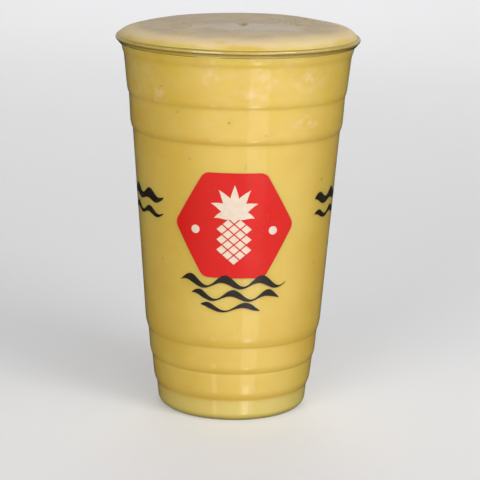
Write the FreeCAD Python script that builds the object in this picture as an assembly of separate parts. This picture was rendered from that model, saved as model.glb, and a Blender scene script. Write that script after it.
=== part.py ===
import FreeCAD, Part
import math
import os

# A clear takeaway cup with a rolled lip, filled past its lip with a thick blended drink
# that mounds up as froth. Millimetres, +Z up, origin at the centre of the base.
#
# Both pieces are turned about Z. The cup's wall is a stack of bands: each is a cone that
# widens upwards, and its lower end tucks in to a crease, where the narrower band below ends.

# Overall size of the cup.
CUP_HEIGHT = 152.8
LIP_DIAMETER = 98.0

# The plastic, and the rolled lip at the top of the wall.
WALL = 0.5
LIP_ROLL_RADIUS = 1.1
LIP_ROLL_SWEEP = 220.0  # degrees, from the wall over the top to the leg that slants back
LIP_END_GAP = 0.25  # from the leg's free end in to the wall

# Bands from the lip down: height, draft in degrees, tuck (how far the lower end comes in)
# and tuck height (how far above the crease that starts). The label panel, which has no
# height here, takes what the others leave of the cup's height.
NECK = {"height": 6.0, "draft": 11.1, "tuck": 0.4, "tuck_height": 1.2}
TOP_BAND = {"height": 16.5, "draft": 5.9, "tuck": 0.5, "tuck_height": 3.0}
UPPER_BAND = {"height": 14.2, "draft": 3.5, "tuck": 0.8, "tuck_height": 3.8}
LABEL_PANEL = {"draft": 4.3, "tuck": 0.85, "tuck_height": 5.4}
LOWER_BAND = {"height": 11.2, "draft": 4.9, "tuck": 0.65, "tuck_height": 3.4}
BOTTOM_BAND = {"height": 11.6, "draft": 6.2, "tuck": 0.85, "tuck_height": 3.7}

# The foot under the last crease, and the pushed-up base inside it.
FOOT_HEIGHT = 9.2
FOOT_DRAFT = 6.2
FOOT_ROUND = 3.8
CONTACT_RING_WIDTH = 1.8
BASE_RISE = 3.0
BASE_SLOPE = 50.0  # degrees from horizontal, of the step between ring and base

# The drink stops this far inside the plastic.
DRINK_CLEARANCE = 0.02

# The froth stands on the lip's roll, rises steeply to a brow, eases over a shelf and crowns
# at the centre. The spread is from the lip's crest out to the froth's edge. The brow and the
# shelf are places on its outline: inset from that edge, and drop from the crown.
FROTH_HEIGHT = 6.1
FROTH_SPREAD = 0.5
FROTH_BROW = {"inset": 5.0, "drop": 3.25}
FROTH_SHELF = {"inset": 20.4, "drop": 0.9}

LIP_ROLL_CENTRE_R = LIP_DIAMETER / 2 - LIP_ROLL_RADIUS
LIP_ROLL_CENTRE_Z = CUP_HEIGHT - LIP_ROLL_RADIUS
NECK_RADIUS = LIP_ROLL_CENTRE_R - LIP_ROLL_RADIUS + WALL


def point(radius, height):
    return FreeCAD.Vector(radius, 0, height)


def polar(centre, radius, degrees):
    """The point at this distance and angle from centre, counted up from the +X side."""
    angle = math.radians(degrees)
    return centre + point(radius * math.cos(angle), radius * math.sin(angle))


def line(start, end):
    return Part.makeLine(start, end)


def end_direction(start, direction, end):
    """The way the arc that leaves start along direction is heading when it stops at end."""
    along = FreeCAD.Vector(direction).normalize()
    chord = (end - start).normalize()
    return chord * (2 * along.dot(chord)) - along


def tangent_arc(start, direction, end):
    """The arc under 180 degrees that leaves start along direction and stops at end."""
    along = FreeCAD.Vector(direction).normalize()
    chord = end - start
    normal = (chord - along * chord.dot(along)).normalize()
    radius = chord.Length**2 / (2 * chord.dot(normal))
    centre = start + normal * radius
    middle = centre + ((start + end) * 0.5 - centre).normalize() * radius
    return Part.Arc(start, middle, end).toShape()


def roll_arc(radius, first, last):
    """An arc about the middle of the lip's roll, between two angles in degrees."""
    centre = point(LIP_ROLL_CENTRE_R, LIP_ROLL_CENTRE_Z)
    ends = [polar(centre, radius, a) for a in (first, (first + last) / 2, last)]
    return Part.Arc(*ends).toShape()


def panel_height():
    bands = (NECK, TOP_BAND, UPPER_BAND, LOWER_BAND, BOTTOM_BAND)
    return LIP_ROLL_CENTRE_Z - FOOT_HEIGHT - sum(band["height"] for band in bands)


def wall_bands():
    """Each band from the lip down, as its top, its tuck's start and its crease."""
    panel = {**LABEL_PANEL, "height": panel_height()}
    top = point(NECK_RADIUS, LIP_ROLL_CENTRE_Z)
    placed = []
    for band in (NECK, TOP_BAND, UPPER_BAND, panel, LOWER_BAND, BOTTOM_BAND):
        slope = math.tan(math.radians(band["draft"]))
        straight = band["height"] - band["tuck_height"]
        tuck_start = top - point(slope * straight, straight)
        crease = top - point(slope * band["height"] + band["tuck"], band["height"])
        placed.append((top, tuck_start, crease))
        top = crease
    return placed


def foot_edges(inset):
    """From the last crease down round the foot and in to the middle of the base. With an
    inset these are the same surfaces that much further inside the cup."""
    slope = math.tan(math.radians(FOOT_DRAFT))
    crease = wall_bands()[-1][2]
    floor_r = crease.x - slope * FOOT_HEIGHT
    corner = point(floor_r - inset + slope * inset, inset)
    reach = (FOOT_ROUND - inset) * math.tan(math.radians(90 - FOOT_DRAFT) / 2)
    up_the_wall = point(math.sin(math.radians(FOOT_DRAFT)), math.cos(math.radians(FOOT_DRAFT)))
    round_top = corner + up_the_wall * reach
    round_bottom = corner - point(reach, 0)

    ring_end = floor_r - FOOT_ROUND - CONTACT_RING_WIDTH
    step_end = ring_end - BASE_RISE / math.tan(math.radians(BASE_SLOPE))
    shift = inset * math.tan(math.radians(BASE_SLOPE) / 2)
    return [
        line(crease - point(inset, 0), round_top),
        tangent_arc(round_top, -up_the_wall, round_bottom),
        line(round_bottom, point(ring_end + shift, inset)),
        line(point(ring_end + shift, inset), point(step_end + shift, BASE_RISE + inset)),
        line(point(step_end + shift, BASE_RISE + inset), point(0, BASE_RISE + inset)),
    ]


def wall_edges(inset):
    """From the neck's top down to the last crease, that far inside the outer surface."""
    inward = point(inset, 0)
    edges = []
    for top, tuck_start, crease in wall_bands():
        edges.append(line(top - inward, tuck_start - inward))
        edges.append(tangent_arc(tuck_start - inward, tuck_start - top, crease - inward))
    return edges


def turned(edges):
    """The solid swept by a closed half-section in one turn about Z."""
    outline = Part.Wire(Part.sortEdges(edges)[0])
    section = Part.Face(outline)
    solid = section.revolve(FreeCAD.Vector(0, 0, 0), FreeCAD.Vector(0, 0, 1), 360)
    return Part.Solid(solid.Shells[0])


def lip_edges():
    """The roll over the top of the wall, and the leg that slants back under it."""
    hollow = LIP_ROLL_RADIUS - WALL
    leg_angle = 180 - LIP_ROLL_SWEEP
    centre = point(LIP_ROLL_CENTRE_R, LIP_ROLL_CENTRE_Z)
    back = polar(point(0, 0), 1, leg_angle - 90)
    inner = polar(centre, hollow, leg_angle)
    outer = polar(centre, LIP_ROLL_RADIUS, leg_angle)
    slope = math.tan(math.radians(NECK["draft"]))
    wall_beside = NECK_RADIUS - slope * (centre.z - inner.z)
    leg = back * ((inner.x - wall_beside - LIP_END_GAP) / (slope * back.z - back.x))
    return [
        roll_arc(hollow, 180, leg_angle),
        line(inner, inner + leg),
        line(inner + leg, outer + leg),
        line(outer + leg, outer),
        roll_arc(LIP_ROLL_RADIUS, leg_angle, 180),
    ]


def cup():
    axis = line(point(0, BASE_RISE), point(0, BASE_RISE + WALL))
    outside = wall_edges(0) + foot_edges(0)
    inside = wall_edges(WALL) + foot_edges(WALL)
    return turned(outside + lip_edges() + inside + [axis])


def froth_edges():
    """From the wall over the lip's roll to the froth's edge, and down from the crown to it."""
    grip_radius = LIP_ROLL_RADIUS + DRINK_CLEARANCE
    edge_angle = math.degrees(math.acos(FROTH_SPREAD / grip_radius))
    edge = polar(point(LIP_ROLL_CENTRE_R, LIP_ROLL_CENTRE_Z), grip_radius, edge_angle)
    crown = point(0, CUP_HEIGHT + FROTH_HEIGHT)
    shelf = point(edge.x - FROTH_SHELF["inset"], crown.z - FROTH_SHELF["drop"])
    brow = point(edge.x - FROTH_BROW["inset"], crown.z - FROTH_BROW["drop"])
    edges = [roll_arc(grip_radius, 180, edge_angle)]
    start, direction = crown, point(1, 0)
    for end in (shelf, brow, edge):
        edges.append(tangent_arc(start, direction, end))
        start, direction = end, end_direction(start, direction, end)
    return edges


def drink():
    inset = WALL + DRINK_CLEARANCE
    axis = line(point(0, BASE_RISE + inset), point(0, CUP_HEIGHT + FROTH_HEIGHT))
    return turned(wall_edges(inset) + foot_edges(inset) + froth_edges() + [axis])


def main():
    os.makedirs("parts", exist_ok=True)
    for name, make in (("cup", cup), ("drink", drink)):
        solid = make()
        solid.exportStep(f"parts/{name}.step")
        box = solid.optimalBoundingBox()
        print(name, "valid", solid.isValid(), "volume ml", round(solid.Volume / 1000, 1))
        print("  radius", round(box.XMax, 2), "z", round(box.ZMin, 2), "to", round(box.ZMax, 2))


main()
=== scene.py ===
import math
import random

import bmesh
import bpy
import numpy as np
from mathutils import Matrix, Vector, noise


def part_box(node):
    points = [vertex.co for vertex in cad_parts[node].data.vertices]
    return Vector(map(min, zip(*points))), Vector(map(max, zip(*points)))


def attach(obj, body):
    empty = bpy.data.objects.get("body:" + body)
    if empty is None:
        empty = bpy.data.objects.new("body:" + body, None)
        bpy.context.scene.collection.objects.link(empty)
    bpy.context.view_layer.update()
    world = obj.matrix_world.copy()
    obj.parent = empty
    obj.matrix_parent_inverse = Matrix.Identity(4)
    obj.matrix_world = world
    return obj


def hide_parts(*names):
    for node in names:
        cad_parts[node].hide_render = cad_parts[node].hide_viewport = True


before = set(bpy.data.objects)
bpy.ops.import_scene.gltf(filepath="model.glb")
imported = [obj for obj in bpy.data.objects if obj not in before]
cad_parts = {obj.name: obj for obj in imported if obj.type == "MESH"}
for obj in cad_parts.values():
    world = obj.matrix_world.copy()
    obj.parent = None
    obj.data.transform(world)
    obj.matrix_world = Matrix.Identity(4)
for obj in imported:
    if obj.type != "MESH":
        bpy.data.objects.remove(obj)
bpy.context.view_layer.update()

MM = 0.001

# ---------------------------------------------------------------- the cup's sizes, in metres

CUP_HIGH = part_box("cup")[1]
CUP_HEIGHT = CUP_HIGH.z
LIP_RADIUS = CUP_HIGH.x
WALL = 0.5 * MM
ROLL_RADIUS = 1.1 * MM
ROLL_END = -40.0  # degrees up from outwards, where the roll meets its leg
LEG_GAP = 0.25 * MM
ROLL_CENTRE = Vector((LIP_RADIUS - ROLL_RADIUS, CUP_HEIGHT - ROLL_RADIUS))

# Bands from the lip down: height, draft in degrees, tuck and tuck height. The label panel,
# with this index, takes the height that the others leave.
PANEL = 3
BANDS = [
    [6.0 * MM, 11.1, 0.4 * MM, 1.2 * MM],
    [16.5 * MM, 5.9, 0.5 * MM, 3.0 * MM],
    [14.2 * MM, 3.5, 0.8 * MM, 3.8 * MM],
    [0.0, 4.3, 0.85 * MM, 5.4 * MM],
    [11.2 * MM, 4.9, 0.65 * MM, 3.4 * MM],
    [11.6 * MM, 6.2, 0.85 * MM, 3.7 * MM],
]
FOOT_HEIGHT = 9.2 * MM
FOOT_DRAFT = 6.2  # degrees
FOOT_ROUND = 3.8 * MM
WALL_START = FOOT_ROUND + 0.4 * MM  # height of the wall's lowest ring
RING_WIDTH = 1.8 * MM
BASE_RISE = 3.0 * MM
BASE_SLOPE = 50.0  # degrees
BANDS[PANEL][0] = ROLL_CENTRE.y - FOOT_HEIGHT - sum(band[0] for band in BANDS)

# The froth's outline: how far past the lip's crest its edge stands, and two places between
# that edge and the crown, each as inset from the edge and drop from the crown.
FROTH_TOP = CUP_HEIGHT + 6.1 * MM
FROTH_SPREAD = 0.5 * MM
FROTH_BROW = (5.0 * MM, 3.25 * MM)
FROTH_SHELF = (20.4 * MM, 0.9 * MM)

# The drink reaches this far into the wall, and the froth and the drink caught in the lip
# this far into the lip, so that no air shows between them and the plastic.
REACH = 0.15 * MM
FROTH_REACH = 0.05 * MM
LIP_FILL_REACH = 0.02 * MM

# The neck's crease is rounded off over this far above and below it.
NECK_ROUNDING = 0.9 * MM


def band_places():
    """Each band from the lip down, as the radius and height of its top and its own sizes,
    and the radius where the foot starts."""
    radius, top = LIP_RADIUS - 2 * ROLL_RADIUS + WALL, ROLL_CENTRE.y
    places = []
    for height, draft, tuck, tuck_height in BANDS:
        slope = math.tan(math.radians(draft))
        places.append((radius, top, height, slope, tuck, tuck_height))
        radius -= slope * height + tuck
        top -= height
    return places, radius


PLACES, FOOT_RADIUS = band_places()
CREASES = [top - height for _, top, height, *_ in PLACES]


def wall_radius(z):
    """The cup's outer radius at a height between the foot's round and the lip's roll."""
    for radius, top, height, slope, tuck, tuck_height in PLACES:
        if z >= top - height:
            straight = radius - slope * (top - z)
            below = max(top - height + tuck_height - z, 0)
            bend = (tuck_height**2 + tuck**2) / (2 * tuck)
            return straight - (bend - math.sqrt(bend**2 - below**2))
    return FOOT_RADIUS - math.tan(math.radians(FOOT_DRAFT)) * (FOOT_HEIGHT - z)


def wall_skin(z):
    """The wall's outer radius with the neck's crease, which is only faint, rounded off."""
    if abs(z - CREASES[0]) > 2 * NECK_ROUNDING:
        return wall_radius(z)
    return sum(wall_radius(z + k * NECK_ROUNDING / 2) for k in (-2, -1, 0, 1, 2)) / 5


def on_side(degrees, z, radius):
    """The place that far round from the front, counted to the right, and off the axis."""
    angle = math.radians(degrees)
    return Vector((radius * math.sin(angle), -radius * math.cos(angle), z))


# ---------------------------------------------------------------- helpers for meshes


def new_object(name, data):
    """A new object in the scene, with this data."""
    made = bpy.data.objects.new(name, data)
    bpy.context.scene.collection.objects.link(made)
    return made


def mesh_object(name, points, faces, material):
    """A new object with a smooth-shaded mesh."""
    mesh = bpy.data.meshes.new(name)
    mesh.from_pydata(points, [], faces)
    mesh.polygons.foreach_set("use_smooth", np.ones(len(mesh.polygons), bool))
    mesh.materials.append(material)
    return new_object(name, mesh)


def around(radius, z, segments):
    """A ring of points about the cup's axis."""
    return [
        Vector((radius * math.cos(a), radius * math.sin(a), z))
        for a in np.linspace(0, 2 * math.pi, segments, endpoint=False)
    ]


def joined(low, high, count):
    """The faces between two rings of so many points, given where each ring's points start."""
    return [
        (low + j, low + (j + 1) % count, high + (j + 1) % count, high + j)
        for j in range(count)
    ]


def turned_object(name, rings, low, high, material):
    """A closed skin through rings of points, from a low middle point up to a high one."""
    count = len(rings[0])
    points = [point for ring in rings for point in ring] + [low, high]
    faces = []
    for i in range(len(rings) - 1):
        faces += joined(i * count, (i + 1) * count, count)
    last = (len(rings) - 1) * count
    for j in range(count):
        k = (j + 1) % count
        faces.append((k, j, len(points) - 2))
        faces.append((last + j, last + k, len(points) - 1))
    return mesh_object(name, points, faces, material)


def arc_on(start, direction, end, steps):
    """Points after start on the arc that leaves it along direction and stops at end, and
    the direction there. Each place is a radius and a height."""
    chord = end - start
    normal = (chord - direction * chord.dot(direction)).normalized()
    centre = start + normal * (chord.length_squared / (2 * chord.dot(normal)))
    reach = (start - centre).length
    first = math.atan2(*(start - centre).yx)
    last = math.atan2(*(end - centre).yx)
    angles = np.linspace(first, last, steps + 1)[1:]
    points = [centre + reach * Vector((math.cos(a), math.sin(a))) for a in angles]
    along = chord.normalized()
    return points, along * (2 * direction.dot(along)) - direction


# ---------------------------------------------------------------- helpers for nodes


class Graph:
    """A node tree, with short ways to add and join its nodes."""

    def __init__(self, tree):
        self.tree = tree

    def add(self, kind, settings=None, **inputs):
        """A new node. In the names of its inputs, _ stands for a space."""
        node = self.tree.nodes.new(kind)
        for key, value in (settings or {}).items():
            setattr(node, key, value)
        for key, value in inputs.items():
            self.put(node.inputs[key.replace("_", " ")], value)
        return node

    def put(self, socket, value):
        """Joins a socket to value if that is one too, and otherwise sets it to value."""
        if isinstance(value, bpy.types.NodeSocket):
            self.tree.links.new(value, socket)
        else:
            socket.default_value = value

    def ramp(self, value, low, high, start=0.0, end=1.0):
        """value eased from start at low to end at high."""
        node = self.add("ShaderNodeMapRange", {"interpolation_type": "SMOOTHSTEP"}, Value=value)
        for socket, number in zip(node.inputs[1:5], (low, high, start, end)):
            self.put(socket, number)
        return node.outputs["Result"]

    def maths(self, operation, first, second):
        node = self.add("ShaderNodeMath", {"operation": operation})
        self.put(node.inputs[0], first)
        self.put(node.inputs[1], second)
        return node.outputs["Value"]

    def times(self, first, second):
        return self.maths("MULTIPLY", first, second)

    def vector(self, operation, first, second, output="Value"):
        node = self.add("ShaderNodeVectorMath", {"operation": operation})
        self.put(node.inputs[0], first)
        self.put(node.inputs[1], second)
        return node.outputs[output]


class Shader(Graph):
    """A node material whose patterns follow the object's own place in metres, so a noise's
    scale is how often it changes in a metre."""

    def __init__(self, name):
        self.material = bpy.data.materials.new(name)
        self.material.use_nodes = True
        super().__init__(self.material.node_tree)
        self.surface = self.tree.nodes["Principled BSDF"]
        self.output = self.tree.nodes["Material Output"]
        self.place = self.add("ShaderNodeTexCoord").outputs["Object"]

    def set(self, **inputs):
        """Sets the Principled BSDF's inputs."""
        for key, value in inputs.items():
            self.put(self.surface.inputs[key.replace("_", " ")], value)

    def scaled(self, x, y, z):
        """The place with each of its coordinates scaled."""
        return self.add("ShaderNodeMapping", Vector=self.place, Scale=(x, y, z)).outputs[0]

    def noise(self, scale, vector=None, detail=3.0, roughness=0.5, distortion=0.0):
        node = self.add("ShaderNodeTexNoise", Vector=vector or self.place, Scale=scale,
                        Detail=detail, Roughness=roughness, Distortion=distortion)
        return node.outputs["Fac"]

    def mix(self, factor, first, second):
        node = self.add("ShaderNodeMix", {"data_type": "RGBA"})
        self.put(node.inputs[0], factor)
        self.put(node.inputs[6], first)
        self.put(node.inputs[7], second)
        return node.outputs[2]

    def bump(self, height, strength, distance):
        node = self.add("ShaderNodeBump", Height=height, Strength=strength, Distance=distance)
        return node.outputs["Normal"]

    def height(self):
        """How high the place is."""
        return self.add("ShaderNodeSeparateXYZ", Vector=self.place).outputs["Z"]

    def off_axis(self):
        """How far the place is from the cup's axis."""
        return self.vector("LENGTH", self.scaled(1, 1, 0), (0, 0, 0))

    def patch(self, centre, size, edge=0.35):
        """1 inside an uneven ball about a place, and 0 well outside it. The size gives the
        ball's three half-widths, and a larger edge makes its border softer."""
        settings = {"vector_type": "TEXTURE"}
        shift = self.add("ShaderNodeMapping", settings, Vector=self.place, Location=centre,
                         Scale=size)
        away = self.vector("LENGTH", shift.outputs[0], (0, 0, 0))
        wobble = self.ramp(self.noise(110.0, detail=4.0), 0.25, 0.75, -0.4, 0.4)
        return self.ramp(self.maths("ADD", away, wobble), 1 - edge, 1 + edge / 2, 1.0, 0.0)

    def open_to(self, kinds):
        """Lets rays of these kinds straight through with little loss, so that light reaches
        what is inside."""
        path = self.add("ShaderNodeLightPath")
        shader = self.surface.outputs["BSDF"]
        for kind in kinds:
            clear = self.add("ShaderNodeBsdfTransparent", Color=THINNED)
            mixed = self.add("ShaderNodeMixShader", Fac=path.outputs[kind])
            self.tree.links.new(shader, mixed.inputs[1])
            self.tree.links.new(clear.outputs["BSDF"], mixed.inputs[2])
            shader = mixed.outputs["Shader"]
        self.tree.links.new(shader, self.output.inputs["Surface"])


# ---------------------------------------------------------------- materials

BODY_YELLOW = (0.805, 0.578, 0.124, 1)
BODY_DEEP = (0.775, 0.530, 0.095, 1)
BODY_KEEN = (0.78, 0.575, 0.065, 1)
BLOTCH = (0.88, 0.66, 0.34, 1)
# Painted sheen: the paler yellow towards the foot.
FOOT_SHEEN_YELLOW = (0.77, 0.64, 0.22, 1)
# Painted highlight: the paler cream where the froth's shoulder turns to the light.
CREAM_HIGHLIGHT = (0.86, 0.67, 0.36, 1)
SHOULDER_YELLOW = (0.79, 0.585, 0.165, 1)
SHOULDER_DEEP = (0.74, 0.53, 0.11, 1)
# The crown's foam: its own colour, made darker as painted shade.
FOAM_BEIGE_SHADED = (0.68, 0.535, 0.345, 1)
FOAM_TAN_SHADED = (0.59, 0.44, 0.26, 1)
# Painted reflection of the grey surround on the froth's crown.
FOAM_REFLECTION_GREY = (0.68, 0.585, 0.465, 1)
LIP_YELLOW = (0.62, 0.46, 0.14, 1)
LIP_DEEP = (0.56, 0.40, 0.09, 1)
# Painted shade: the brown of the dark line under the lip's roll.
LIP_SHADE_BROWN = (0.44, 0.28, 0.05, 1)
# Painted shade in the froth's pores and in its dimple.
PORE_SHADE = (0.36, 0.28, 0.15, 1)
OLIVE = (0.40, 0.30, 0.06, 1)
OLIVE_PALE = (0.56, 0.42, 0.09, 1)
BUBBLE_RIM = (0.48, 0.36, 0.18, 1)
BUBBLE_MIDDLE = (0.62, 0.48, 0.27, 1)
RED_INK = ((0.74, 0.014, 0.010, 1), (0.66, 0.020, 0.014, 1))
CREAM_INK = ((0.86, 0.71, 0.58, 1), (0.80, 0.66, 0.50, 1))
BLACK_INK = ((0.017, 0.011, 0.008, 1), (0.030, 0.021, 0.015, 1))
WARM_CLEAR = (0.985, 0.96, 0.91, 1)
THINNED = (0.97, 0.975, 0.97, 1)

# How strongly light bends in each.
PLASTIC_IOR = 1.5
DRINK_IOR = 1.38
BUBBLE_IOR = 1.36

# Where paler blotches gather in the drink: degrees round from the front, then height and
# size in mm.
BLOTCHES = [(9, 135, 8), (14, 139, 6), (37, 139, 7), (-14, 142, 5), (-44, 133, 5), (40, 123, 5)]


def plastic_material():
    """Clear plastic, a little warm in tone and faintly rippled from moulding."""
    s = Shader("clear_cup_plastic")
    ripple = s.noise(220.0, s.scaled(1, 1, 0.35), detail=2.0)
    s.set(Base_Color=WARM_CLEAR, Transmission_Weight=1.0, IOR=PLASTIC_IOR)
    s.set(Roughness=s.ramp(s.noise(90.0), 0.35, 0.7, 0.05, 0.10))
    s.set(Normal=s.bump(ripple, 0.10, 0.2 * MM))
    s.open_to(("Is Shadow Ray", "Is Diffuse Ray"))
    return s.material


def drink_material():
    """Thick yellow drink behind the wall, paler where froth has gathered high in the cup."""
    s = Shader("blended_drink")
    cloud = s.noise(40.0, detail=5.0, roughness=0.6)
    colour = s.mix(s.ramp(cloud, 0.36, 0.64), BODY_DEEP, BODY_YELLOW)
    upper = s.ramp(s.height(), 0.098, 0.140)
    keen = s.ramp(s.noise(95.0, s.scaled(1, 1, 1.6), detail=3.0), 0.48, 0.68)
    colour = s.mix(s.times(s.times(keen, upper), 0.5), colour, BODY_KEEN)
    gathered = s.times(s.ramp(s.noise(30.0, detail=2.0), 0.40, 0.66, 0.0, 0.55), upper)
    for degrees, z, size in BLOTCHES:
        place = on_side(degrees, z * MM, wall_radius(z * MM))
        near = s.patch(place, (size * MM, size * MM, 0.7 * size * MM), 0.5)
        gathered = s.maths("MAXIMUM", gathered, near)
    mottle = s.noise(230.0, s.scaled(1, 1, 1.3), detail=4.0, roughness=0.55, distortion=0.2)
    blotch = s.times(s.ramp(mottle, 0.38, 0.70), gathered)
    colour = s.mix(s.times(blotch, 0.68), colour, BLOTCH)
    # Paler towards the foot: a painted sheen for the veil of reflected light there.
    foot = s.ramp(s.height(), 7.5 * MM, 10.0 * MM, 0.55, 0.0)
    colour = s.mix(foot, colour, FOOT_SHEEN_YELLOW)
    s.set(Base_Color=colour, Roughness=s.ramp(cloud, 0.3, 0.7, 0.40, 0.52), IOR=DRINK_IOR)
    s.set(Subsurface_Weight=0.6, Subsurface_Radius=(7.5 * MM, 2.8 * MM, 0.7 * MM))
    s.set(Subsurface_Scale=1.0, Normal=s.bump(s.noise(900.0), 0.25, 0.12 * MM))
    s.set(Specular_IOR_Level=0.2)
    return s.material


def froth_material():
    """Yellow froth rolling over the lip, and greyer, patchy foam on the crown, partly painted
    light.
    """
    s = Shader("froth")
    cloud = s.noise(70.0, detail=5.0, roughness=0.62)
    colour = s.mix(s.ramp(cloud, 0.36, 0.62), SHOULDER_DEEP, SHOULDER_YELLOW)
    # The crown's foam is partly painted shade; towards the shoulder it turns paler as a painted
    # highlight.
    foam = s.mix(s.ramp(cloud, 0.42, 0.60), FOAM_TAN_SHADED, FOAM_BEIGE_SHADED)
    # A pale grey patch painted as a reflection of the surround.
    foam = s.mix(s.patch(*PALE_REFLECTION_PATCH), foam, FOAM_REFLECTION_GREY)
    wobble = s.ramp(s.noise(50.0, detail=3.0), 0.3, 0.7, -1.2 * MM, 1.2 * MM)
    out = s.maths("ADD", s.off_axis(), wobble)
    foam = s.mix(s.ramp(out, 37.0 * MM, 44.0 * MM), foam, CREAM_HIGHLIGHT)
    colour = s.mix(s.ramp(out, 45.4 * MM, 48.3 * MM, 1.0, 0.0), colour, foam)
    rough = s.patch(ROUGH_PATCH.to_3d() + LIFT, (14 * MM, 11 * MM, 9 * MM))
    # Pores and the dimple are painted darker, as shade in their hollows.
    pore_shade = s.ramp(s.noise(420.0, detail=3.0, roughness=0.6), 0.52, 0.66)
    colour = s.mix(s.times(s.times(pore_shade, rough), 0.7), colour, PORE_SHADE)
    pit_shade = s.patch(DIMPLE.to_3d() + LIFT, (2.2 * MM, 3.0 * MM, 4 * MM))
    colour = s.mix(s.times(pit_shade, 0.7), colour, PORE_SHADE)
    for place, size in STAINS:
        colour = s.mix(s.times(s.patch(place, size, 0.9), 0.5), colour, SHOULDER_DEEP)
    s.set(Base_Color=colour, Roughness=s.ramp(cloud, 0.3, 0.7, 0.34, 0.48), IOR=DRINK_IOR)
    s.set(Subsurface_Weight=0.4, Subsurface_Radius=(3 * MM, 1.8 * MM, 0.8 * MM))
    s.set(Subsurface_Scale=1.0, Normal=s.bump(s.noise(800.0, detail=4.0), 0.3, 0.12 * MM))
    return s.material


def bubble_material(name, rim, middle):
    """Small wet bubbles, uneven in tone."""
    s = Shader(name)
    colour = s.mix(s.ramp(s.noise(700.0), 0.35, 0.65), rim, middle)
    s.set(Base_Color=colour, IOR=BUBBLE_IOR)
    s.set(Roughness=s.ramp(s.noise(300.0), 0.3, 0.7, 0.12, 0.25))
    return s.material


def ink_material(name, colour, worn):
    """Printed ink: a slightly mottled film, glossy like the plastic under it."""
    s = Shader(name)
    mottle = s.ramp(s.noise(420.0, detail=4.0), 0.35, 0.7)
    s.set(Base_Color=s.mix(mottle, colour, worn))
    s.set(Roughness=s.ramp(s.noise(150.0), 0.3, 0.7, 0.16, 0.28), Specular_IOR_Level=0.25)
    s.set(Normal=s.bump(s.noise(700.0), 0.08, 0.05 * MM))
    return s.material


# ---------------------------------------------------------------- the cup

CUP_SEGMENTS = 256

# Where the wall's rings stand by each crease: how far below it, and how far up its tuck.
BELOW_CREASE = (0.9 * MM, 0.45 * MM, 0.10 * MM, 0.0)
UP_THE_TUCK = (0.03, 0.1, 0.25, 0.4, 0.6, 0.8, 1.0)

# The roll's first ring after the neck's top, in degrees up from outwards.
ROLL_START = 174

# The heights over which the caught drink turns from a painted brown shade to yellow.
LIP_SHADE_LOW = ROLL_CENTRE.y - 0.28 * MM
LIP_FILL_PALE = ROLL_CENTRE.y - 0.02 * MM


def base_outline(inner):
    """From the middle of the base out over its contact ring and round the foot, that far
    inside the outer surface. Each place in an outline is a radius and a height."""
    floor_radius = FOOT_RADIUS - math.tan(math.radians(FOOT_DRAFT)) * FOOT_HEIGHT
    ring_end = floor_radius - FOOT_ROUND - RING_WIDTH
    step_end = ring_end - BASE_RISE / math.tan(math.radians(BASE_SLOPE))
    round_centre = floor_radius - FOOT_ROUND * math.tan(math.radians(90 - FOOT_DRAFT) / 2)
    outline = [(r, BASE_RISE + inner) for r in np.linspace(1 * MM, step_end, 6)]
    outline += [(ring_end, inner), (round_centre, inner)]
    reach = FOOT_ROUND - inner
    for angle in np.radians(np.linspace(-80, -FOOT_DRAFT, 11)):
        out = round_centre + reach * math.cos(angle)
        outline.append((out, FOOT_ROUND + reach * math.sin(angle)))
    return outline


def cup_wall(inner):
    """Up the wall from the foot to the neck's top, with more rings where a tuck bends it."""
    heights = [WALL_START]
    for _, top, height, _, _, tuck_height in reversed(PLACES):
        crease = top - height
        heights += [crease - down for down in BELOW_CREASE]
        heights += [crease + tuck_height * share for share in UP_THE_TUCK]
        heights.append((crease + tuck_height + top) / 2)
    heights.append(ROLL_CENTRE.y)
    return [(wall_skin(z) - inner, z) for z in heights]


def on_roll(radius, degrees):
    """The place at this radius and angle about the middle of the lip's roll."""
    angle = math.radians(degrees)
    return ROLL_CENTRE + radius * Vector((math.cos(angle), math.sin(angle)))


def lip_outline():
    """Over the roll inside its hollow, down the leg under it, and back over its outside."""
    hollow = ROLL_RADIUS - WALL
    inner, outer = on_roll(hollow, ROLL_END), on_roll(ROLL_RADIUS, ROLL_END)
    back = Vector((math.sin(math.radians(ROLL_END)), -math.cos(math.radians(ROLL_END))))
    slope = PLACES[0][3]
    beside = PLACES[0][0] - slope * (ROLL_CENTRE.y - inner.y)
    leg = back * ((inner.x - beside - LEG_GAP) / (slope * back.y - back.x))
    across = outer - inner
    line = [on_roll(hollow, a) for a in np.linspace(ROLL_START, ROLL_END, 28)]
    line += [inner + leg * t for t in (0.5, 0.96, 1.0)]
    line += [inner + leg + across * t for t in (0.1, 0.9)]
    line += [outer + leg * t for t in (1.0, 0.96, 0.5)]
    line += [on_roll(ROLL_RADIUS, a) for a in np.linspace(ROLL_END, ROLL_START, 32)]
    return [(p.x, p.y) for p in line]


def cup_piece():
    """The clear cup, as one closed skin over the outside, the lip and the inside."""
    outside = base_outline(0) + cup_wall(0)
    inside = base_outline(WALL) + cup_wall(WALL)
    outline = outside + lip_outline() + inside[::-1]
    rings = [around(radius, z, CUP_SEGMENTS) for radius, z in outline]
    low, high = Vector((0, 0, BASE_RISE)), Vector((0, 0, BASE_RISE + WALL))
    return turned_object("cup_shell", rings, low, high, plastic_material())


def caught_drink_and_shade_material():
    """Drink caught in the lip: yellow, with brown painted along its lower edge as shade."""
    s = Shader("caught_drink_and_shade")
    tone = s.mix(s.ramp(s.noise(300.0), 0.35, 0.65), LIP_DEEP, LIP_YELLOW)
    # The brown below is painted shade, the dark line under the roll.
    up = s.ramp(s.height(), LIP_SHADE_LOW, LIP_FILL_PALE)
    s.set(Base_Color=s.mix(up, LIP_SHADE_BROWN, tone), IOR=DRINK_IOR)
    s.set(Roughness=s.ramp(s.noise(200.0), 0.3, 0.7, 0.40, 0.50))
    return s.material


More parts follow.
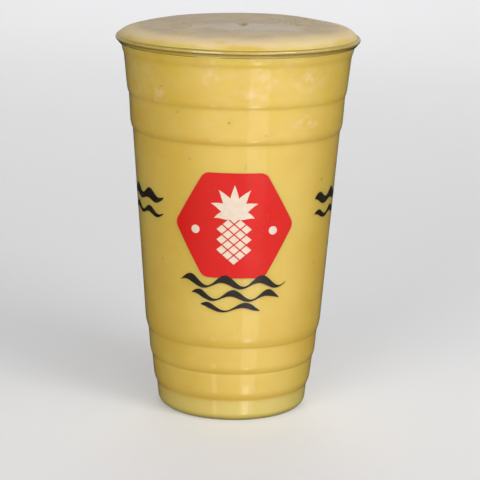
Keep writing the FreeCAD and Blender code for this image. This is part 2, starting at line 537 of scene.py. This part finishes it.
def lip_fill_and_shade():
    """Drink crept into the lip's roll, as a ring all the way round, with painted shade below.
    """
    radius = ROLL_RADIUS - WALL + LIP_FILL_REACH
    section = [on_roll(radius, a) for a in np.linspace(0, 360, 24, endpoint=False)]
    points = [p for place in section for p in around(place.x, place.y, CUP_SEGMENTS)]
    starts = [i * CUP_SEGMENTS for i in range(len(section))]
    faces = []
    for here, there in zip(starts, starts[1:] + starts[:1]):
        faces += joined(here, there, CUP_SEGMENTS)
    return mesh_object("lip_fill_and_shade", points, faces, caught_drink_and_shade_material())


# ---------------------------------------------------------------- the drink

DRINK_SEGMENTS = 288
DRINK_TOP = ROLL_CENTRE.y - 0.1 * MM
GROOVE = 0.14 * MM
GROOVE_WIDTH = 0.35 * MM
CREASE_EASING = 0.3 * MM

# The drink's rings stand close together from so far below a crease to so far above it.
BEND_LOW = -1.0 * MM
BEND_HIGH = 3.6 * MM
CLOSE_STEP = 0.33 * MM
WIDE_STEP = 1.8 * MM


def soft_wall(z):
    """The wall's radius with its creases eased, and a fine groove where air stays in each
    crease below the neck's."""
    eased = sum(wall_skin(z + k * CREASE_EASING) for k in (-1, 0, 1)) / 3
    near = min(abs(z - crease) for crease in CREASES[1:])
    return eased - GROOVE * math.exp(-((near / GROOVE_WIDTH) ** 2))


def side_outline(inner):
    """Up the wall, with rings close together where a crease bends it."""
    outline = []
    z = WALL_START
    while z < DRINK_TOP:
        outline.append((soft_wall(z) - inner, z))
        bent = any(BEND_LOW < z - crease < BEND_HIGH for crease in CREASES)
        z += CLOSE_STEP if bent else WIDE_STEP
    return outline + [(soft_wall(DRINK_TOP) - inner, DRINK_TOP)]


def drink_piece():
    """The drink that fills the cup, as one closed skin up to the lip."""
    inner = WALL - REACH
    outline = base_outline(inner) + side_outline(inner)
    rings = [around(radius, z, DRINK_SEGMENTS) for radius, z in outline]
    low = Vector((0, 0, BASE_RISE + inner))
    high = Vector((0, 0, DRINK_TOP))
    return turned_object("blended_drink", rings, low, high, drink_material())


# ---------------------------------------------------------------- the froth

FROTH_SEGMENTS = 384
FROTH_FLOOR = DRINK_TOP - 3 * MM
FROTH_TILT = 0.008  # how much higher it stands for each unit to the right
FROTH_GRIP = ROLL_RADIUS - FROTH_REACH
FROTH_EDGE = ROLL_CENTRE.x + FROTH_SPREAD
CROWN = Vector((0, FROTH_TOP))
SHELF = Vector((FROTH_EDGE - FROTH_SHELF[0], FROTH_TOP - FROTH_SHELF[1]))
BROW = Vector((FROTH_EDGE - FROTH_BROW[0], FROTH_TOP - FROTH_BROW[1]))

# Where the froth's edge stands back from its usual place on the lip, at the front and right.
FRONT_GAP = 0.05 * MM
RIGHT_GAP = 0.6 * MM
EDGE_WAVER = 0.15 * MM

# How far the froth's swells, swirls and grain stand off it, how much more the grain does
# where it is rough, how deep the dimple and its tail go, and over which height above the
# lip all of this comes in.
SWELL = 0.22 * MM
SWIRL = 0.05 * MM
GRAIN = 0.03 * MM
ROUGH_GRAIN = 0.16 * MM
DIMPLE_DEPTH = 1.1 * MM
TAIL_DEPTH = 0.3 * MM
RELIEF_FADE = 2.5 * MM

# The dimple, its tail, the pale patch of painted reflection, the rough patch and deeper yellow
# stains.
LIFT = Vector((0, 0, FROTH_TOP - 1 * MM))
DIMPLE = Vector((1.7 * MM, -12.5 * MM))
DIMPLE_TAIL = Vector((4.5 * MM, -25.0 * MM))
PALE_REFLECTION_PATCH = ((1 * MM, -20 * MM, LIFT.z), (20 * MM, 8.5 * MM, 9 * MM))
STAINS = [
    ((-22.0 * MM, -29.5 * MM, LIFT.z), (3.6 * MM, 2.8 * MM, 9 * MM)),
    ((-6.5 * MM, -44.0 * MM, LIFT.z - 3 * MM), (2.4 * MM, 1.2 * MM, 3 * MM)),
]
ROUGH_PATCH = Vector((25 * MM, 1 * MM))
BUBBLE_RING = Vector((-22 * MM, -16 * MM))


def froth_relief(x, y):
    """How far the froth stands off its even dome at a place."""
    spot = Vector((x, y, 0))
    broad = noise.fractal(spot * 38, 1.0, 2.0, 3, noise_basis="PERLIN_ORIGINAL")
    fine = noise.fractal(spot * 260, 1.0, 2.1, 3, noise_basis="PERLIN_ORIGINAL")
    bend = 2.2 * noise.noise(spot * 55)
    swirl = math.sin(2 * math.atan2(y, x) + spot.length * 420 + bend)
    rough = math.exp(-((spot.xy - ROUGH_PATCH).length / (13 * MM)) ** 2)
    height = SWELL * broad + SWIRL * swirl + (GRAIN + ROUGH_GRAIN * rough) * fine
    return height - dimple_depth(spot.xy)


def dimple_depth(here):
    """How deep the dimple and its tail are at a place."""
    away = here - DIMPLE
    dimple = math.exp(-((away.x / (1.3 * MM)) ** 2) - (away.y / (2.4 * MM)) ** 2)
    tail = DIMPLE_TAIL - DIMPLE
    along = min(max(away.dot(tail) / tail.length_squared, 0), 1)
    off = (away - tail * along).length
    trail = (1 - along) * math.exp(-((off / (1.2 * MM)) ** 2))
    return DIMPLE_DEPTH * dimple + TAIL_DEPTH * trail


def froth_edge(angle):
    """Where the froth's edge stands on the lip's roll, at one angle round the cup."""
    front = max(-math.sin(angle), 0) ** 1.5
    right = max(math.cos(angle), 0) ** 6
    spread = FROTH_SPREAD - FRONT_GAP * front - RIGHT_GAP * right
    spread += EDGE_WAVER * noise.noise(Vector((math.cos(angle), math.sin(angle), 0)) * 4)
    return ROLL_CENTRE + Vector((spread, math.sqrt(FROTH_GRIP**2 - spread**2)))


def froth_dome(top_steps, side_steps):
    """Points from the crown, which isn't among them, out to the brow, and the direction
    there."""
    top, direction = arc_on(CROWN, Vector((1, 0)), SHELF, top_steps)
    side, direction = arc_on(SHELF, direction, BROW, side_steps)
    return top + side, direction


def froth_outline(angle):
    """The froth at one angle round the cup, from inside the drink up towards the crown."""
    edge = froth_edge(angle)
    edge_angle = math.atan2(*(edge - ROLL_CENTRE).yx)
    outline = [Vector((ROLL_CENTRE.x - 4 * MM, FROTH_FLOOR))]
    outline += [
        ROLL_CENTRE + FROTH_GRIP * Vector((math.cos(a), math.sin(a)))
        for a in np.linspace(math.pi, edge_angle, 9)
    ]
    dome, direction = froth_dome(56, 34)
    rim, _ = arc_on(BROW, direction, edge, 16)
    return outline + (dome + rim)[::-1][1:]


def froth_height(x, y):
    """The froth's height at a place inside its brow."""
    line = [CROWN] + froth_dome(24, 24)[0]
    even = float(np.interp(math.hypot(x, y), [p.x for p in line], [p.y for p in line]))
    return even + FROTH_TILT * x + froth_relief(x, y)


def froth_point(angle, radius, z):
    """A point of the froth's outline with its relief, which fades out towards the lip."""
    x, y = radius * math.cos(angle), radius * math.sin(angle)
    free = min(max((z - CUP_HEIGHT) / RELIEF_FADE, 0), 1)
    if radius < FROTH_EDGE:
        z += free * (FROTH_TILT * x + froth_relief(x, y))
    return Vector((x, y, z))


def froth_piece():
    """The froth over the lip, as one closed skin down into the drink."""
    angles = np.linspace(0, 2 * math.pi, FROTH_SEGMENTS, endpoint=False)
    columns = [froth_outline(a) for a in angles]
    rings = [
        [froth_point(angle, place.x, place.y) for angle, place in zip(angles, row)]
        for row in zip(*columns)
    ]
    low = Vector((0, 0, FROTH_FLOOR))
    high = Vector((0, 0, FROTH_TOP + froth_relief(0, 0)))
    return turned_object("froth", rings, low, high, froth_material())


# ---------------------------------------------------------------- bubbles

# Bubbles seen against the wall: degrees round from the front, then height and radius in mm.
WALL_SPOTS = [
    (-3.5, 124.3, 0.60), (15.9, 119.2, 0.45), (-25.6, 108.9, 0.40), (5.4, 106.5, 0.30),
    (57.3, 98.9, 0.60), (-47.9, 66.3, 0.45), (57.4, 64.7, 0.40), (-31.7, 127.1, 0.40),
    (-40.6, 136.6, 0.35), (3.3, 40.2, 0.25),
]

# More of them at random: how many, then the spans of their degrees, heights and radii.
RANDOM_SPOTS = [
    (34, (70, 290), (14, 142), (0.2, 0.5)),
    (24, (-70, 70), (14, 142), (0.12, 0.22)),
]
SPOT_DEPTH = 0.07 * MM

# Bubbles on the froth: how many in the ring, on the rough patch and anywhere on the crown,
# and how far from the axis they may be.
RING_BUBBLES = 9
ROUGH_BUBBLES = 60
STRAY_BUBBLES = 40
STRAY_REACH = 41 * MM
BUBBLE_REACH = 42 * MM


def bubbles_object(name, places, material):
    """One mesh of flattened balls. Each place is a centre, an outward way, a radius and a
    height along that way."""
    ball = bmesh.new()
    bmesh.ops.create_icosphere(ball, subdivisions=2, radius=1)
    shape = [v.co.copy() for v in ball.verts]
    corners = [[v.index for v in face.verts] for face in ball.faces]
    ball.free()
    points, faces = [], []
    for centre, way, radius, height in places:
        turn = way.to_track_quat("Z", "Y")
        size = Vector((radius, radius, height))
        first = len(points)
        points += [centre + turn @ (v * size) for v in shape]
        faces += [[first + i for i in corner] for corner in corners]
    return mesh_object(name, points, faces, material)


def froth_bubbles():
    """Small bubbles that stand on the froth: a ring, a rough patch and some strays."""
    pick = random.Random(7)
    spots = []
    for k in range(RING_BUBBLES):
        turn = 2 * math.pi * k / RING_BUBBLES
        ring = Vector((3.2 * math.cos(turn), 7.0 * math.sin(turn))) * MM
        spots.append((BUBBLE_RING + ring, pick.uniform(0.45, 0.75)))
    for _ in range(ROUGH_BUBBLES):
        spread = Vector((pick.gauss(0, 7.5), pick.gauss(0, 6.5))) * MM
        spots.append((ROUGH_PATCH + spread, pick.uniform(0.25, 0.6)))
    for _ in range(STRAY_BUBBLES):
        turn, out = pick.uniform(0, 2 * math.pi), STRAY_REACH * math.sqrt(pick.random())
        spots.append((out * Vector((math.cos(turn), math.sin(turn))), pick.uniform(0.15, 0.35)))
    places = []
    for spot, size in spots:
        if spot.length < BUBBLE_REACH:
            centre = Vector((spot.x, spot.y, froth_height(spot.x, spot.y)))
            places.append((centre, Vector((0, 0, 1)), size * MM, 0.3 * size * MM))
    material = bubble_material("froth_bubble", BUBBLE_RIM, BUBBLE_MIDDLE)
    return bubbles_object("froth_bubbles", places, material)


def wall_bubbles():
    """Small dark bubbles pressed against the inside of the wall, on all sides."""
    pick = random.Random(11)
    spots = list(WALL_SPOTS)
    for count, *spans in RANDOM_SPOTS:
        for _ in range(count):
            spots.append([pick.uniform(*span) for span in spans])
    places = []
    for degrees, z, size in spots:
        centre = on_side(degrees, z * MM, soft_wall(z * MM) - WALL + REACH)
        way = on_side(degrees, 0, 1)
        places.append((centre, way, size * MM, SPOT_DEPTH))
    material = bubble_material("wall_bubble", OLIVE, OLIVE_PALE)
    return bubbles_object("wall_bubbles", places, material)


# ---------------------------------------------------------------- the print

# How far the ink stands off the wall and reaches into it, and the width of the strips that
# a shape is cut into before it is bent.
PRINT_PROUD = 0.04 * MM
PRINT_SINK = 0.06 * MM
STRIP = 1.2 * MM

# The badge and the dots on it.
BADGE_Z = 83 * MM
BADGE_RADIUS = 24.6 * MM
BADGE_CORNER = 4.0 * MM
DOT_Z = BADGE_Z - 2 * MM
DOT_OUT = 15.5 * MM
DOT_RADIUS = 1.7 * MM

# The pineapple: its fruit's middle, half-widths and rows, and its leaves' foot, width, lean
# in degrees and length in mm.
FRUIT_Z = BADGE_Z - 5.5 * MM
FRUIT_HALF = (8.6 * MM, 10.2 * MM)
FRUIT_PITCH = 4.2 * MM
LEAF_Z = FRUIT_Z + 8.6 * MM
LEAF_WIDTH = 4.2 * MM
LEAVES = [(0, 13.5), (24, 13), (-24, 13), (48, 11), (-48, 11), (75, 8), (-75, 8)]

# The front waves' strokes: middle, height, length, swing, thickest and thinnest in mm, then
# their turns and the angle they start at.
FRONT_WAVES = [
    ((0, 59.5, 44, 1.7, 3.6, 0.8), 3.0, 0.0),
    ((1, 54.0, 36, 1.5, 3.0, 0.7), 2.5, 0.6),
    ((-1, 49.2, 24, 1.3, 2.4, 0.6), 1.5, 1.0),
]

# The side waves: middles, then height, thickest and thinnest, and what all of them share.
SIDE_MIDDLES = [("left", -49), ("right", 54.5)]
SIDE_WAVES = [(91, 4.6, 2.4), (84.5, 2.8, 1.4)]
SIDE_LENGTH = 36
SIDE_SWING = 1.0
SIDE_TURNS = 3.0
SIDE_START = 0.4


def on_wall(across, z, proud):
    """A point on the label panel, that far round the wall from the front and off it."""
    angle = across / wall_radius(z)
    radius = wall_radius(z) + proud
    return Vector((radius * math.sin(angle), -radius * math.cos(angle), z))


def flat_fill(outlines):
    """A flat mesh between closed outlines of points; one inside another is a hole."""
    curve = bpy.data.curves.new("outline", "CURVE")
    curve.dimensions = "2D"
    curve.fill_mode = "BOTH"
    for outline in outlines:
        spline = curve.splines.new("POLY")
        spline.points.add(len(outline) - 1)
        for point, (x, y) in zip(spline.points, outline):
            point.co = (x, y, 0, 1)
        spline.use_cyclic_u = True
    holder = new_object("outline", curve)
    mesh = bpy.data.meshes.new_from_object(holder)
    bpy.data.objects.remove(holder)
    bpy.data.curves.remove(curve)
    return mesh


def printed(name, outlines, material, layer=0):
    """A film of ink in this shape, bent round the label panel. A higher layer stands
    further off it."""
    mesh = flat_fill(outlines)
    work = bmesh.new()
    work.from_mesh(mesh)
    bmesh.ops.remove_doubles(work, verts=work.verts, dist=1e-6)
    low = min(v.co.x for v in work.verts)
    high = max(v.co.x for v in work.verts)
    for i in range(1, math.ceil((high - low) / STRIP)):
        bmesh.ops.bisect_plane(work, geom=work.verts[:] + work.edges[:] + work.faces[:],
                               plane_co=(low + i * STRIP, 0, 0), plane_no=(1, 0, 0))
    grown = bmesh.ops.extrude_face_region(work, geom=work.faces[:])["geom"]
    front = {v for v in grown if isinstance(v, bmesh.types.BMVert)}
    proud = PRINT_PROUD * (1 + layer / 2)
    for v in work.verts:
        v.co = on_wall(v.co.x, v.co.y, proud if v in front else -PRINT_SINK)
    bmesh.ops.recalc_face_normals(work, faces=work.faces)
    work.to_mesh(mesh)
    work.free()
    mesh.materials.append(material)
    return new_object(name, mesh)


def rounded_polygon(cx, cy, radius, sides, corner, steps=8):
    """A regular polygon with rounded corners; corner is the arc's radius."""
    outline = []
    half = math.pi / sides
    inset = corner / math.cos(half)
    for i in range(sides):
        toward = 2 * math.pi * i / sides
        ox = cx + (radius - inset) * math.cos(toward)
        oy = cy + (radius - inset) * math.sin(toward)
        for k in range(steps + 1):
            a = toward - half + 2 * half * k / steps
            outline.append((ox + corner * math.cos(a), oy + corner * math.sin(a)))
    return outline


def oval(cx, cy, rx, ry, steps=32):
    """An oval with these half-widths."""
    angles = [2 * math.pi * k / steps for k in range(steps)]
    return [(cx + rx * math.cos(a), cy + ry * math.sin(a)) for a in angles]


def leaf(cx, cy, length, width, lean, steps=12):
    """A pointed leaf that starts at a place and leans from upright by an angle."""
    right, left = [], []
    for k in range(steps + 1):
        t = k / steps
        half = width / 2 * math.sin(math.pi * t**0.7)
        bend = lean * (0.6 + 0.6 * t)
        x, y = length * t * math.sin(bend), length * t * math.cos(bend)
        right.append((cx + x + half * math.cos(bend), cy + y - half * math.sin(bend)))
        left.append((cx + x - half * math.cos(bend), cy + y + half * math.sin(bend)))
    return right + left[::-1]


def fruit_diamonds(cx, cy, rx, ry, pitch):
    """Small lozenges that fill an oval in crossing rows, as on a pineapple's skin."""
    shapes = []
    rows = int(ry / pitch) + 1
    w, h = 0.48 * pitch, 0.42 * pitch
    for row in range(-2 * rows, 2 * rows + 1):
        for column in range(-rows, rows + 1):
            x = (column + (row % 2) / 2) * pitch * 1.15
            y = row * pitch / 2
            if (x / (rx - 0.35 * pitch)) ** 2 + (y / (ry - 0.35 * pitch)) ** 2 > 1:
                continue
            x, y = cx + x, cy + y
            shapes.append([(x + w, y), (x, y + h), (x - w, y), (x, y - h)])
    return shapes


def wave(sizes, turns, phase, steps=90):
    """A brushed wavy stroke whose width swells on its way down. The sizes, in mm, are its
    middle, height, length, swing, thickest and thinnest."""
    cx, cy, length, swing, thick, thin = (size * MM for size in sizes)
    upper, lower = [], []
    for k in range(steps + 1):
        t = k / steps
        x = cx + (t - 0.5) * length
        angle = 2 * math.pi * turns * t + phase
        taper = min(1.0, 8 * t, 8 * (1 - t)) ** 0.6
        half = taper * (thin + (thick - thin) * (0.5 - 0.5 * math.cos(angle + 0.9))) / 2
        y = cy + swing * math.sin(angle)
        upper.append((x, y + half))
        lower.append((x, y - half))
    return upper + lower[::-1]


def badge_pieces():
    """A red badge with a cream pineapple."""
    red = ink_material("red_ink", *RED_INK)
    cream = ink_material("cream_ink", *CREAM_INK)
    field = rounded_polygon(0, BADGE_Z, BADGE_RADIUS, 6, BADGE_CORNER)
    pieces = [(printed("badge_field", [field], red), "red_ink")]
    for i, (lean, length) in enumerate(LEAVES):
        shape = leaf(0, LEAF_Z, length * MM, LEAF_WIDTH, math.radians(lean))
        pieces.append((printed(f"badge_leaf_{i}", [shape], cream, 1 + i % 3), "cream_ink"))
    skin = fruit_diamonds(0, FRUIT_Z, *FRUIT_HALF, FRUIT_PITCH)
    pieces.append((printed("badge_fruit", skin, cream, 1), "cream_ink"))
    dots = [oval(x, DOT_Z, DOT_RADIUS, DOT_RADIUS) for x in (-DOT_OUT, DOT_OUT)]
    pieces.append((printed("badge_dots", dots, cream, 1), "cream_ink"))
    return pieces


def wave_pieces():
    """Black brushed waves under the badge and round the sides."""
    black = ink_material("black_ink", *BLACK_INK)
    front = [wave(*stroke) for stroke in FRONT_WAVES]
    pieces = [(printed("waves_front", front, black, 1), "black_ink")]
    for name, middle in SIDE_MIDDLES:
        marks = [
            wave((middle, z, SIDE_LENGTH, SIDE_SWING, thick, thin), SIDE_TURNS, SIDE_START)
            for z, thick, thin in SIDE_WAVES
        ]
        pieces.append((printed(f"waves_{name}", marks, black), "black_ink"))
    return pieces


# ---------------------------------------------------------------- stage, lights and camera

PALE = (0.60, 0.60, 0.61, 1)

# The floor as the camera sees it, and as it lights the cup, low down and higher up.
FLOOR_TONES = ((0.80, 0.80, 0.81, 1), (0.77, 0.77, 0.78, 1))
FLOOR_BOUNCE = (0.25, 0.25, 0.25, 1)
BACKDROP_BOUNCE = (0.75, 0.75, 0.75, 1)
FLOOR_LIFT = 0.30

# Light panels: name, azimuth and elevation in degrees, distance, width and height in metres,
# and radiance. The last one stands behind.
PANELS = [
    ("left_softbox", -27, 12, 1.2, (0.55, 0.70), 4.8),
    ("right_softbox", 45, 30, 1.3, (0.50, 0.40), 8.6),
    ("right_strip_0", 23.5, -8, 1.1, (0.20, 1.5), 1.0),
    ("right_strip_1", 23.5, -8, 1.1, (0.30, 1.5), 1.0),
    ("right_strip_2", 23.5, -8, 1.1, (0.40, 1.5), 1.0),
    ("left_strip", -26, -34, 1.2, (0.12, 0.20), 1.1),
    ("right_low_strip", 22, -36, 1.2, (0.17, 0.18), 2.2),
    ("back_softbox", 180, 30, 1.45, (0.70, 0.45), 3.2),
]

# Where the surround's soft glow comes from most, and how much comes from everywhere.
GLOW_FROM = Vector((0.40, -1.0, 0.0)).normalized()
GLOW_LEAST = 0.05

CAMERA_PLACE = (2.35 * MM, -798.7 * MM, 255.4 * MM)
CAMERA_LENS = 150.17
CAMERA_DOWN = 13.18  # degrees
CAMERA_ROLL = 1.13  # degrees


def floor_material():
    """A pale floor, lifted a little for the camera. It keeps the cup's shadow. It sends
    little light back to the cup, and the backdrop sends more towards its top."""
    s = Shader("pale_floor")
    shown = s.mix(s.ramp(s.noise(2.0), 0.3, 0.7), *FLOOR_TONES)
    seen = s.add("ShaderNodeLightPath").outputs["Is Camera Ray"]
    bounce = s.mix(s.ramp(s.height(), 0.10, 0.50), FLOOR_BOUNCE, BACKDROP_BOUNCE)
    s.set(Base_Color=s.mix(seen, bounce, shown), Roughness=0.7, Specular_IOR_Level=0.15)
    s.set(Emission_Color=PALE, Emission_Strength=s.times(seen, FLOOR_LIFT))
    return s.material


def stage_floor():
    """A pale floor that sweeps up behind into a backdrop. Reflected and refracted rays
    pass through it and meet the surround instead."""
    half, front, back, sweep, height = 3.0, -3.0, 1.6, 0.7, 2.6
    line = [(front, 0.0), (0.0, 0.0), (back - sweep, 0.0)]
    line += [
        (back - sweep + sweep * math.sin(a), sweep - sweep * math.cos(a))
        for a in np.linspace(0, math.pi / 2, 17)[1:]
    ]
    line.append((back, height))
    points = [(x, y, z) for y, z in line for x in (-half, half)]
    faces = [(2 * i, 2 * i + 1, 2 * i + 3, 2 * i + 2) for i in range(len(line) - 1)]
    floor = mesh_object("floor", points, faces, floor_material())
    floor.visible_glossy = False
    floor.visible_transmission = False


def softbox(name, azimuth, elevation, distance, size, radiance):
    """Adds a light panel that faces the cup, and returns it. Azimuth 0 is the front, and
    + is to the right."""
    light = bpy.data.lights.new(name, "AREA")
    light.shape = "RECTANGLE"
    light.size, light.size_y = size
    light.energy = radiance * math.pi * size[0] * size[1]
    made = new_object(name, light)
    a, e = math.radians(azimuth), math.radians(elevation)
    away = Vector((math.cos(e) * math.sin(a), -math.cos(e) * math.cos(a), math.sin(e)))
    made.location = Vector((0, 0, CUP_HEIGHT / 2)) + distance * away
    made.rotation_euler = (-away).to_track_quat("-Z", "Y").to_euler()
    return made


def studio_lights():
    """The light panels. The one behind lights the cup's back and isn't seen itself."""
    lamps = [softbox(*panel) for panel in PANELS]
    behind = lamps[-1]
    behind.visible_camera = False
    behind.visible_glossy = False
    behind.visible_transmission = False


def world_light():
    """A pale surround for the camera. What it lights gets a soft glow from the front, which
    fades towards straight up and down, a weaker one from behind above the horizon, and a
    little from everywhere."""
    world = bpy.data.worlds.new("surround")
    bpy.context.scene.world = world
    world.use_nodes = True
    world.node_tree.nodes.clear()
    g = Graph(world.node_tree)
    way = g.add("ShaderNodeTexCoord").outputs["Generated"]
    z = g.add("ShaderNodeSeparateXYZ", Vector=way).outputs["Z"]
    level = g.times(g.ramp(z, -0.78, -0.42), g.ramp(z, 0.55, 0.98, 1.0, 0.36))
    toward = g.vector("DOT_PRODUCT", way, GLOW_FROM)
    front = g.times(g.ramp(toward, -0.10, 0.93, 0.0, 1.27), level)
    away = g.vector("DOT_PRODUCT", way, (0.0, 1.0, 0.0))
    back = g.times(g.ramp(away, 0.3, 0.9, 0.0, PALE[0]), g.ramp(z, -0.16, -0.04))
    glow = g.maths("ADD", g.maths("ADD", front, back), GLOW_LEAST)
    seen = g.add("ShaderNodeLightPath").outputs["Is Camera Ray"]
    lighting = g.times(glow, g.maths("SUBTRACT", 1.0, seen))
    strength = g.maths("MAXIMUM", g.times(seen, PALE[0]), lighting)
    background = g.add("ShaderNodeBackground", Strength=strength)
    g.tree.links.new(background.outputs[0], g.add("ShaderNodeOutputWorld").inputs[0])


def camera():
    """The photo's view: a little above the cup, with a long lens and a slight roll."""
    data = bpy.data.cameras.new("camera")
    data.sensor_width = 36.0
    data.lens = CAMERA_LENS
    made = new_object("camera", data)
    made.location = CAMERA_PLACE
    made.rotation_euler = (math.radians(90 - CAMERA_DOWN), 0, 0)
    made.rotation_euler.rotate_axis("Z", math.radians(CAMERA_ROLL))
    bpy.context.scene.camera = made


def main():
    bpy.context.scene.view_settings.view_transform = "Standard"
    cup = cup_piece()
    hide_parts("cup")
    drink = drink_piece()
    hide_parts("drink")
    pieces = [(cup, "clear_plastic"), (drink, "drink"), (froth_piece(), "drink")]
    pieces += [(froth_bubbles(), "drink"), (wall_bubbles(), "drink"), (lip_fill_and_shade(), "drink")]
    pieces += badge_pieces() + wave_pieces()
    for piece, slot in pieces:
        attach(piece, "root")
    stage_floor()
    studio_lights()
    world_light()
    camera()


main()
